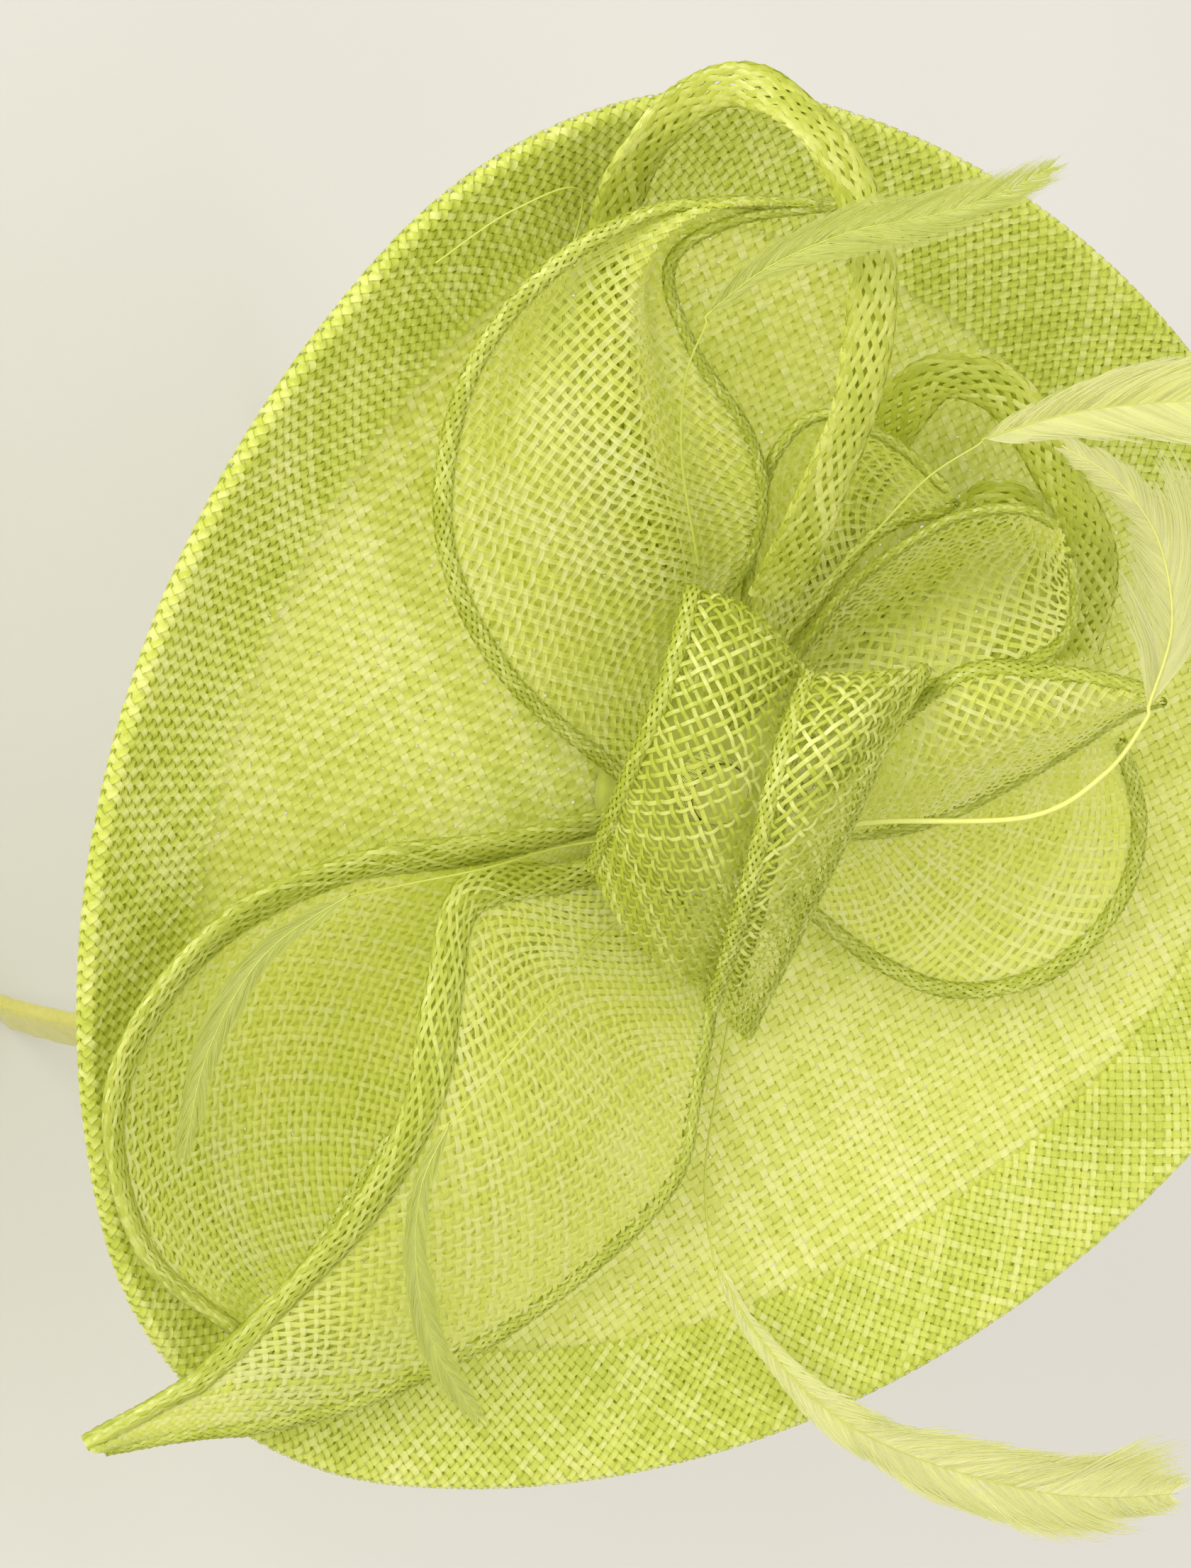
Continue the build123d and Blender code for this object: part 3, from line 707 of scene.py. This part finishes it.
knot = {
    "knot_lower_fold": dict(
        left=[(-9, -24, 10), (-17, -36, 18), (-5, -33, 24), (7, -25, 20), (16, -14, 10)],
        ridge=[(-9, -19, 12), (-20, -30, 22), (-7, -26, 30), (7, -15, 27), (19, 2, 9)],
        right=[(-9, -13, 11), (-20, -18, 20), (-10, -15, 28), (3, -2, 24), (15, 18, 8)]),
    "knot_upper_fold": dict(
        left=[(-13, -12, 18), (-19, -20, 26), (-8, -20, 34), (5, -8, 30), (18, 12, 14)],
        ridge=[(-13, -7, 20), (-24, -17, 31), (-14, -16, 38), (0, -5, 32), (18, 18, 12)],
        right=[(-13, -2, 19), (-30, -9, 28), (-18, -8, 32), (-7, 2, 25), (17, 23, 9)]),
}
loops = {
    "narrow_loop_tall": (
        [(-15, -30, 3), (-23, -53, 5), (-33, -71, 7), (-46, -86, 10), (-61, -86, 14), (-65, -75, 23),
         (-60, -61, 33), (-47, -47, 36), (-34, -35, 30), (-25, -24, 19)],
        [(-19, -26, 3), (-27, -48, 5), (-37, -67, 7), (-51, -81, 10), (-60, -82, 15), (-61, -78, 24),
         (-56, -65, 33), (-44, -52, 36), (-31, -42, 31), (-23, -31, 20)]),
    "narrow_loop_outer": (
        [(-24, -12, 3), (-44, -21, 3), (-54, -29, 8), (-61, -31, 12), (-66, -22, 16), (-65, -9, 18),
         (-62, 7, 17), (-52, 24, 8)],
        [(-24, -8, 3), (-43, -15, 3), (-53, -21, 8), (-59, -24, 12), (-62, -20, 15), (-60, -9, 16),
         (-57, 5, 15), (-50, 20, 8)]),
    "narrow_loop_inner": (
        [(-24, -6, 3), (-42, -4, 3), (-53, -7, 6), (-58, -8, 10), (-60, -2, 11), (-58, 7, 11),
         (-52, 14, 9), (-44, 19, 6)],
        [(-24, -2, 3), (-40, 0, 3), (-52, -1, 6), (-55, -2, 8), (-56, 0, 9), (-55, 5, 9), (-50, 11, 7),
         (-42, 15, 4)]),
}
# name: the quill's points, the vane's points
feathers = {
    "feather_right": (
        [(-17, -13, 10), (-24, -19, 13), (-37, -27, 26), (-46, -30, 31), (-53, -30, 34)],
        [(-54, -30, 34), (-64, -26, 38), (-74, -19, 42), (-82, -11, 43), (-88, -2, 42)]),
    "feather_curl": (
        [(-6, 3, 17), (-13, 6, 21), (-26, 13, 36), (-36, 13, 42), (-44, 9, 46)],
        [(-45, 8, 46), (-53, 0, 49), (-58, -12, 51), (-58, -25, 54), (-55, -36, 56)]),
    "feather_low_right": (
        [(5, 14, 3), (20, 26, 3), (34, 37, 4), (42, 46, 6)],
        [(42, 47, 6), (45, 56, 8), (46, 70, 9), (42, 88, 8), (35, 105, 9), (28, 118, 8), (20, 131, 5)]),
    "feather_lower_centre": (
        [(11, 3, 6), (20, -4, 7), (35, -14, 24), (52, -15, 27)],
        [(53, -15, 27), (61, -12, 27), (69, -3, 25), (75, 9, 22), (78, 23, 18)]),
    "feather_left": (
        [(10, -11, 6), (17, -18, 7), (27, -31, 17), (40, -44, 20)],
        [(41, -45, 20), (53, -48, 18), (66, -44, 15), (78, -35, 12)]),
    "feather_top": (
        [(-20, -35, 14), (-26, -52, 22), (-32, -64, 28), (-37, -70, 32)],
        [(-38, -71, 32), (-46, -73, 37), (-55, -71, 41), (-64, -66, 44), (-76, -63, 48)]),
}
bare_quill = [(-6, -22, 3), (-16, -48, 3), (-31, -70, 3), (-41, -82, 5), (-33, -89, 7), (-21, -93, 8)]


# ---- petals and knot ----

def woven_sheet(node, lines, angle, pitch, width, seed, material, slot, gather, edges):
    """One sheet of straw cloth with its rolled edges. edges holds, for the left and the right side,
    (half widths along it, half thicknesses, strands each way, lay)."""
    cloth = Cloth(gather=gather, **lines)
    strips = Strips()
    weave(strips, cloth.at, cloth.extent(), radians(angle), pitch, width, seed)
    piece = settle(strips.piece(node + "_weave", material, slot), node)
    for side, name, how in ((-1, "left", edges[0]), (1, "right", edges[1])):
        roll = Strips()
        braid(roll, *cloth.edge(side), *how, roll_thread, seed + 40 + side)
        settle(roll.piece(f"{node}_{name}_roll", roll_straw_painted_shade, slot))


roll_thread = 0.5
thin_roll = ([0.8, 1.05, 1.05, 0.8], [0.6, 0.75, 0.75, 0.6], 8, 15.0)
soft_roll = ([0.6, 0.8, 0.6], [0.5, 0.55, 0.5], 7, 13.0)
wide_fold = ([1.7, 2.6, 2.4, 1.5, 1.0], [0.8, 0.9, 0.9, 0.8, 0.7], 13, 40.0)
# the threads' angle to the ridge, their pitch and width, the gathers, and the left and the right edge
looks = {
    "petal_upper_left": (45, 1.4, 0.64, (0.5, 0.3), thin_roll, soft_roll),
    "petal_lower_left": (40, 1.3, 0.66, (0.5, 0.2), wide_fold, thin_roll),
    "petal_lower_centre": (50, 1.45, 0.66, (0.5, 0.5), wide_fold, thin_roll),
    "petal_right_lower": (45, 1.35, 0.62, (0.6, 0.3), thin_roll, soft_roll),
    "petal_right_upper": (42, 1.6, 0.56, (0.4, 0.3), thin_roll, soft_roll),
    "petal_upper_right": (45, 1.7, 0.6, (0.4, 0.2), soft_roll, soft_roll),
    "petal_upper_centre": (45, 1.4, 0.62, (0.4, 0.2), soft_roll, soft_roll),
    "knot_lower_fold": (45, 1.62, 0.54, (0.5, 0.5), thin_roll, thin_roll),
    "knot_upper_fold": (42, 1.62, 0.54, (0.5, 0.5), thin_roll, thin_roll),
}
for number, (node, lines) in enumerate({**petals, **knot}.items()):
    angle, pitch, width, gather, left_roll, right_roll = looks[node]
    material, slot = (knot_straw, "knot_straw") if node in knot else (petal_straw, "petal_straw")
    woven_sheet(node, lines, angle, pitch, width, 100 + number, material, slot, gather,
                (left_roll, right_roll))


# ---- narrow loops: flattened braided tubes ----

def over_disc(points, count):
    """The smooth line in the row frame through points of (u, v, height above the disc)."""
    u, v, height = smooth_curve(points, np.linspace(0, 1, count)).T
    return place(np.stack([u, v, saucer_top(u, v) + height], -1))


narrowest, widest = 2.6, 3.3  # of half a tube's width


def narrow_loop(node, lines, seed):
    """A narrow straw tube pressed flat, between the two edge lines."""
    rails = [over_disc(line, 900) for line in lines]
    centre = (rails[0] + rails[1]) / 2
    across = rails[1] - rails[0]
    tangent = unit(np.gradient(centre, axis=0))
    across = across - (across * tangent).sum(1, keepdims=True) * tangent
    normals = unit(np.cross(tangent, across))
    half = np.linalg.norm(across, axis=1)[::100] / 2
    half = np.clip(half * 1.1, narrowest, widest)
    strips = Strips()
    braid(strips, centre, normals, across, half, half_thick=[0.45], strands=12, lay=40.0, width=0.86,
          seed=seed, weave_lift=0.14)
    piece = settle(strips.piece(node + "_braid", loop_straw, "loop_straw"), node)


for number, (node, lines) in enumerate(loops.items()):
    narrow_loop(node, lines, 200 + number)


# ---- feathers ----

def shaft_line(points):
    """A feather's middle line at steps of about a millimetre."""
    return even(over_disc(points, 60 * len(points)), step=1.0)


def tube_rings(line, radii):
    """The rings of a six-sided tube along a line."""
    sides = 6
    tangent = unit(np.gradient(line, axis=0))
    guess = np.where(np.abs(tangent[:, 2:]) < 0.9, [[0, 0, 1.0]], [[1.0, 0, 0]])
    side = unit(np.cross(tangent, guess))
    up = np.cross(side, tangent)
    turns = np.arange(sides + 1) * 2 * pi / sides
    ring = (side[:, None] * np.cos(turns)[None, :, None] + up[:, None] * np.sin(turns)[None, :, None])
    return line[:, None] + ring * radii[:, None, None]


def skin(name, grid, material):
    """A tube from a grid of rings whose last column repeats the first, with its two ends shut."""
    rings, around = grid.shape[:2]
    around -= 1
    points = [tuple(p) for p in (grid[:, :around] * MM).reshape(-1, 3)]
    faces = [(i * around + k, i * around + (k + 1) % around, (i + 1) * around + (k + 1) % around,
              (i + 1) * around + k) for i in range(rings - 1) for k in range(around)]
    faces += [tuple(range(around))[::-1], tuple((rings - 1) * around + k for k in range(around))]
    mesh = bpy.data.meshes.new(name)
    mesh.from_pydata(points, [], faces)
    mesh.polygons.foreach_set("use_smooth", np.full(len(mesh.polygons), True))
    mesh.update()
    mesh.materials.append(material)
    piece = in_scene(name, mesh)
    return piece


quill_stuff = fabric("quill", (222, 226, 120), (234, 237, 142), 900.0, 0.1, 0.4, 0.0)
stem_stuff = fabric("dyed quill", (190, 200, 80), (208, 216, 104), 900.0, 0.1, 0.5, 0.0)


def shaft(name, line, radii, material, node):
    settle(skin(name, tube_rings(line, tapered(radii, len(line))), material), node)


barb_spacing = 0.11
clumps = 22


def barbs(name, line, node, seed, material, halves, lean, droop, width, ragged):
    """Silky barbs from both sides of the shaft, swept towards its tip. halves are the reaches of the two
    sides along the shaft, lean the barbs' angle to it, ragged how unevenly they end."""
    rng = np.random.default_rng(seed)
    strips = Strips()
    run = run_length(line)
    end = run[-1]
    tangent = unit(np.gradient(line, axis=0))
    disc_up = turned(np.array([0, 0, 1.0]))
    side_way = unit(np.cross(disc_up, tangent))
    count = int(end / barb_spacing)
    s = np.linspace(0, 1, 12)[None, :]
    for hand, half in zip((-1, 1), halves):
        root = np.sort(rng.uniform(0, 0.98, count)) * end
        clump = np.interp(root, np.linspace(0, end, clumps), rng.normal(0, 1, clumps))
        reach = np.interp(root / end, np.linspace(0, 1, len(half)), half)
        reach = reach * rng.uniform(0.8, 1.08, count) * (1 + 0.08 * clump)
        span = reach / tan(radians(lean)) * rng.uniform(1.0 - ragged, 1.1, count)
        past_tip = rng.uniform(3 - 14 * ragged, 3 + 8 * ragged, count)
        span = np.maximum(np.minimum(span, end + past_tip - 0.9 * reach - root), 2.0)
        ahead = root[:, None] + span[:, None] * s
        off = reach[:, None] * (1 - (1 - s) ** 1.7) + 0.5 * (clump * reach / 6)[:, None] * s ** 3
        past = np.maximum(ahead - end, 0)
        on = np.minimum(ahead, end)
        base, way, go = (resampled(on, run, values) for values in (line, side_way, tangent))
        sag = (0.25 * rng.normal(0, 1, count) + 0.3 * clump)[:, None] * s ** 1.5 - droop * off * s
        points = base + go * past[..., None] + way * (hand * off)[..., None] + disc_up * sag[..., None]
        widths = width * (1 - 0.9 * s ** 2) * np.ones((count, 1))
        strips.add(points, np.broadcast_to(disc_up, points.shape), widths, rng.uniform(0, 1, count), FLAT)
    settle(strips.piece(name, material, "feather"), node)


# both sides' reaches along the shaft, the barbs' lean, droop and width, and how raggedly they end
plumes = {
    "feather_right": (([2, 6, 7.5, 6, 0.8], [2, 5, 6.5, 6, 0.8]), 20, 0.12, 0.32, 0.15),
    "feather_curl": (([7, 6, 2.5, 2, 0.6], [6, 4, 2, 1.6, 0.6]), 16, 0.1, 0.26, 0.2),
    "feather_low_right": (([0.8, 3, 6, 5, 1.5], [0.8, 3, 6, 7, 1.5]), 14, 0.12, 0.3, 0.5),
    "feather_lower_centre": (([1, 1.6, 1.8, 1.5, 0.5], [1, 1.6, 1.8, 1.5, 0.5]), 11, 0.1, 0.14, 0.3),
    "feather_left": (([1, 2, 2, 1.6, 0.5], [1, 1.8, 1.8, 1.5, 0.5]), 11, 0.1, 0.15, 0.3),
    "feather_top": (([1.5, 3, 3, 2.2, 0.6], [1.5, 3, 3, 2, 0.6]), 13, 0.1, 0.1, 0.35),
}
for number, (name, (stem, blade)) in enumerate(feathers.items()):
    whole = shaft_line(stem + blade)
    if name == "feather_curl":
        shaft(name + "_shaft", whole, [0.4, 0.36, 0.16, 0.08], quill_stuff, name + "_quill")
    else:
        shaft(name + "_shaft", whole, [0.2, 0.16, 0.07, 0.05], stem_stuff, name + "_quill")
    # These feathers take the barbs with painted shade.
    in_painted_shade = name in ("feather_lower_centre", "feather_left", "feather_top")
    barbs(name + "_barbs", shaft_line(blade), name + "_vane", 300 + number,
          painted_shade_barb if in_painted_shade else feather_barb, *plumes[name])
shaft("feather_bare_quill_shaft", shaft_line(bare_quill), [0.26, 0.1], stem_stuff, "feather_bare_quill")


# ---- headband sleeve ----

def arm_line():
    """The headband's middle line from the crown's top to the right tip, with its outward directions."""
    count = 170
    crown = crown_radius + band_thickness / 2
    arm = arm_radius + band_thickness / 2
    drop = arm_drop / arm_radius
    upper = pi / 2 * crown
    total = upper + drop * arm
    marks = np.linspace(0, total, count)
    angle = np.where(marks < upper, pi / 2 - marks / crown, -(marks - upper) / arm)
    radius = np.where(marks < upper, crown, arm)
    shift = np.where(marks < upper, 0, crown_radius - arm_radius)
    out = np.stack([np.cos(angle), np.zeros(count), np.sin(angle)], -1)
    return out * radius[:, None] + np.stack([shift, np.zeros(count), np.zeros(count)], -1), out, marks


def sleeve(side, nodes, name):
    """A wrinkled fabric tube round the spring, drawn in at the tip. side is 1 right, -1 left."""
    line, out, marks = arm_line()
    line, out = line * [side, 1, 1], out * [side, 1, 1]
    turns = np.linspace(0, 2 * pi, 41)
    left = marks[-1] - marks
    tip = np.sqrt(np.clip(1 - (1 - np.clip(left / tip_round, 0, 1)) ** 2, 0.02, 1))
    half = (band_width / 2 - 0.1) * (0.35 + 0.65 * tip)
    thick = (band_thickness / 2) * (0.3 + 0.7 * tip)
    c, s = np.cos(turns), np.sin(turns)
    flat_c, flat_s = np.sign(c) * np.abs(c) ** 0.45, np.sign(s) * np.abs(s) ** 0.7
    m, k = marks[:, None], turns[None, :]
    near = np.exp(-left / 9.0)[:, None]
    wrinkle = (0.05 * np.sin(m * 1.9 + 2 * np.sin(k)) * np.sin(m * 0.37 + k)
               + near * 0.22 * np.sin(k * 7 + m * 0.9) + 0.04 * np.sin(m * 5.1 + 3 * k))
    across = (half[:, None] * flat_c[None, :] + wrinkle * c * 0.6)
    up = thick[:, None] * flat_s[None, :] + wrinkle * s
    grid = line[:, None] + np.array([0, 1.0, 0]) * across[..., None] + out[:, None] * up[..., None]
    if side < 0:
        grid = grid[:, ::-1]
    piece = skin(name, grid, sleeve_cloth)
    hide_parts(*nodes)
    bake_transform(piece)


sleeve(1, ["headband_crown_sleeve", "headband_right_arm_sleeve"], "headband_right_sleeve")
sleeve(-1, ["headband_left_arm_sleeve"], "headband_left_sleeve")


# ---- felt, thread and hidden pieces ----

felt_voxel = 0.6
felt_rough = 0.22


def felted(node):
    """A felt piece: the CAD solid's shape with a soft, uneven skin."""
    name = node + "_felt"
    piece = in_scene(name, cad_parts[node].data.copy())
    remesh = piece.modifiers.new("remesh", "REMESH")
    remesh.mode = "VOXEL"
    remesh.voxel_size = felt_voxel * MM
    soften = piece.modifiers.new("soften", "SMOOTH")
    soften.iterations = 6
    cloud = bpy.data.textures.new(name, "CLOUDS")
    cloud.noise_scale = 1.6 * MM
    bumps = piece.modifiers.new("bumps", "DISPLACE")
    bumps.texture = cloud
    bumps.texture_coords = "GLOBAL"
    bumps.strength = felt_rough * MM
    graph = bpy.context.evaluated_depsgraph_get()
    mesh = bpy.data.meshes.new_from_object(piece.evaluated_get(graph))
    piece.modifiers.clear()
    piece.data = mesh
    mesh.materials.clear()
    mesh.materials.append(felt_cloth)
    mesh.polygons.foreach_set("use_smooth", np.full(len(mesh.polygons), True))
    settle(piece, node)


felted("backing_pad")
felted("flower_base")


base_centre = (-3.0, -5.0)
base_thickness = 2.4
wrap_radius = 4.45
wrap_turns = 8
pad_grip = 1.6
stitch_radius = 0.35
stitch_length = 3.0
stitch_spacing = 4.0
stitches_each_side = 7


def thread_winding():
    """Thread wound round the post."""
    strips = Strips()
    angle = np.linspace(0, 2 * pi * wrap_turns, 48 * wrap_turns)
    rise = 0.4 + 4.2 * angle / angle[-1]
    u = base_centre[0] + wrap_radius * np.cos(angle)
    v = base_centre[1] + wrap_radius * np.sin(angle)
    line = place(np.stack([u, v, float(saucer_top(*base_centre)) + base_thickness + rise], -1))
    yarn(strips, line, radius=0.2, strands=3, lay=2.2, width=0.3, seed=71)
    settle(strips.piece("gather_wrap_thread", thread_stuff, "thread"), "gather_wrap")


thread_winding()


def stitches():
    """Slip stitches between the pad and both edges of the headband."""
    strips = Strips()
    pad_under = -dish_depth - layer - pad_web - pad_grip
    s = np.linspace(0, 1, 24)
    for side in (-1, 1):
        for k in range(stitches_each_side):
            x = (k - (stitches_each_side - 1) / 2) * stitch_spacing + 0.8 * (s - 0.5)
            y = side * (band_width / 2 + stitch_length * s)
            w = pad_under - stitch_radius - 0.25 * np.sin(pi * s)
            line = place(np.stack([x, y, w], -1))
            yarn(strips, line, radius=0.18, strands=3, lay=1.8, width=0.28, seed=80 + k)
    settle(strips.piece("pad_stitch_threads", thread_stuff, "thread"), "pad_stitches")


stitches()

for node, material in {
    "headband_crown_core": spring_steel,
    "headband_right_arm_core": spring_steel,
    "headband_left_arm_core": spring_steel,
    "rim_wire": covered_wire,
    "gather_post": post_plastic,
}.items():
    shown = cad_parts[node]
    shown.data.materials.clear()
    shown.data.materials.append(material)


# ---- floor, light and camera ----

def floor():
    """A pale sheet of paper under the lowest point."""
    mesh = bpy.data.meshes.new("floor")
    size = 6.0
    corners = [(-size, -size, 0), (size, -size, 0), (size, size, 0), (-size, size, 0)]
    mesh.from_pydata(corners, [], [(0, 1, 2, 3)])
    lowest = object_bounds()[0].z
    plane = in_scene("floor", mesh)
    plane.location = (0, 0, lowest - 0.0005)
    material, nodes, links, shader, _ = new_material("paper floor")
    mottle = noise_of(nodes, links, 6.0)
    stops = [(0.3, srgb(217, 216, 214)), (0.7, srgb(221, 220, 219))]
    links.new(ramp_of(nodes, links, mottle, stops), shader.inputs["Base Color"])
    shader.inputs["Roughness"].default_value = 0.9
    mesh.materials.append(material)
    plane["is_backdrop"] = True


floor()

right = Vector((-0.3567, 0.5895, 0.7247))
up = Vector((-0.7905, -0.6039, 0.1022))
back = Vector((0.4979, -0.5364, 0.6815))
camera = in_scene("camera", bpy.data.cameras.new("camera"))
camera.matrix_world = Matrix((
    (right.x, up.x, back.x, 0.3384), (right.y, up.y, back.y, -0.3366),
    (right.z, up.z, back.z, 0.4640), (0, 0, 0, 1)))
camera.data.lens = 105.27
camera.data.sensor_width = 36
camera.data.clip_start = 0.01
bpy.context.scene.camera = camera


def lamp(name, towards, distance, size, power, colour):
    """A soft square light that looks at the object's middle from a direction."""
    data = bpy.data.lights.new(name, "AREA")
    data.size = size
    data.energy = power
    data.color = colour
    light = in_scene(name, data)
    middle = Vector((0.04, 0, 0.07))
    way = Vector(towards).normalized()
    light.location = middle + way * distance
    light.rotation_mode = "QUATERNION"
    light.rotation_quaternion = way.to_track_quat("Z", "Y")


lamp("key", up * 0.3 - right * 0.4 + back, 1.6, 1.0, 16, (1.0, 0.99, 0.97))
lamp("fill", right * 0.9 + back * 0.6 + Vector((0, 0, 0.6)), 1.8, 1.6, 3, (1.0, 0.99, 0.97))

world = bpy.data.worlds.new("studio")
world.use_nodes = True
world.node_tree.nodes["Background"].inputs["Color"].default_value = srgb(240, 236, 226)
world.node_tree.nodes["Background"].inputs["Strength"].default_value = 1.07
bpy.context.scene.world = world
bpy.context.scene.view_settings.view_transform = "Standard"
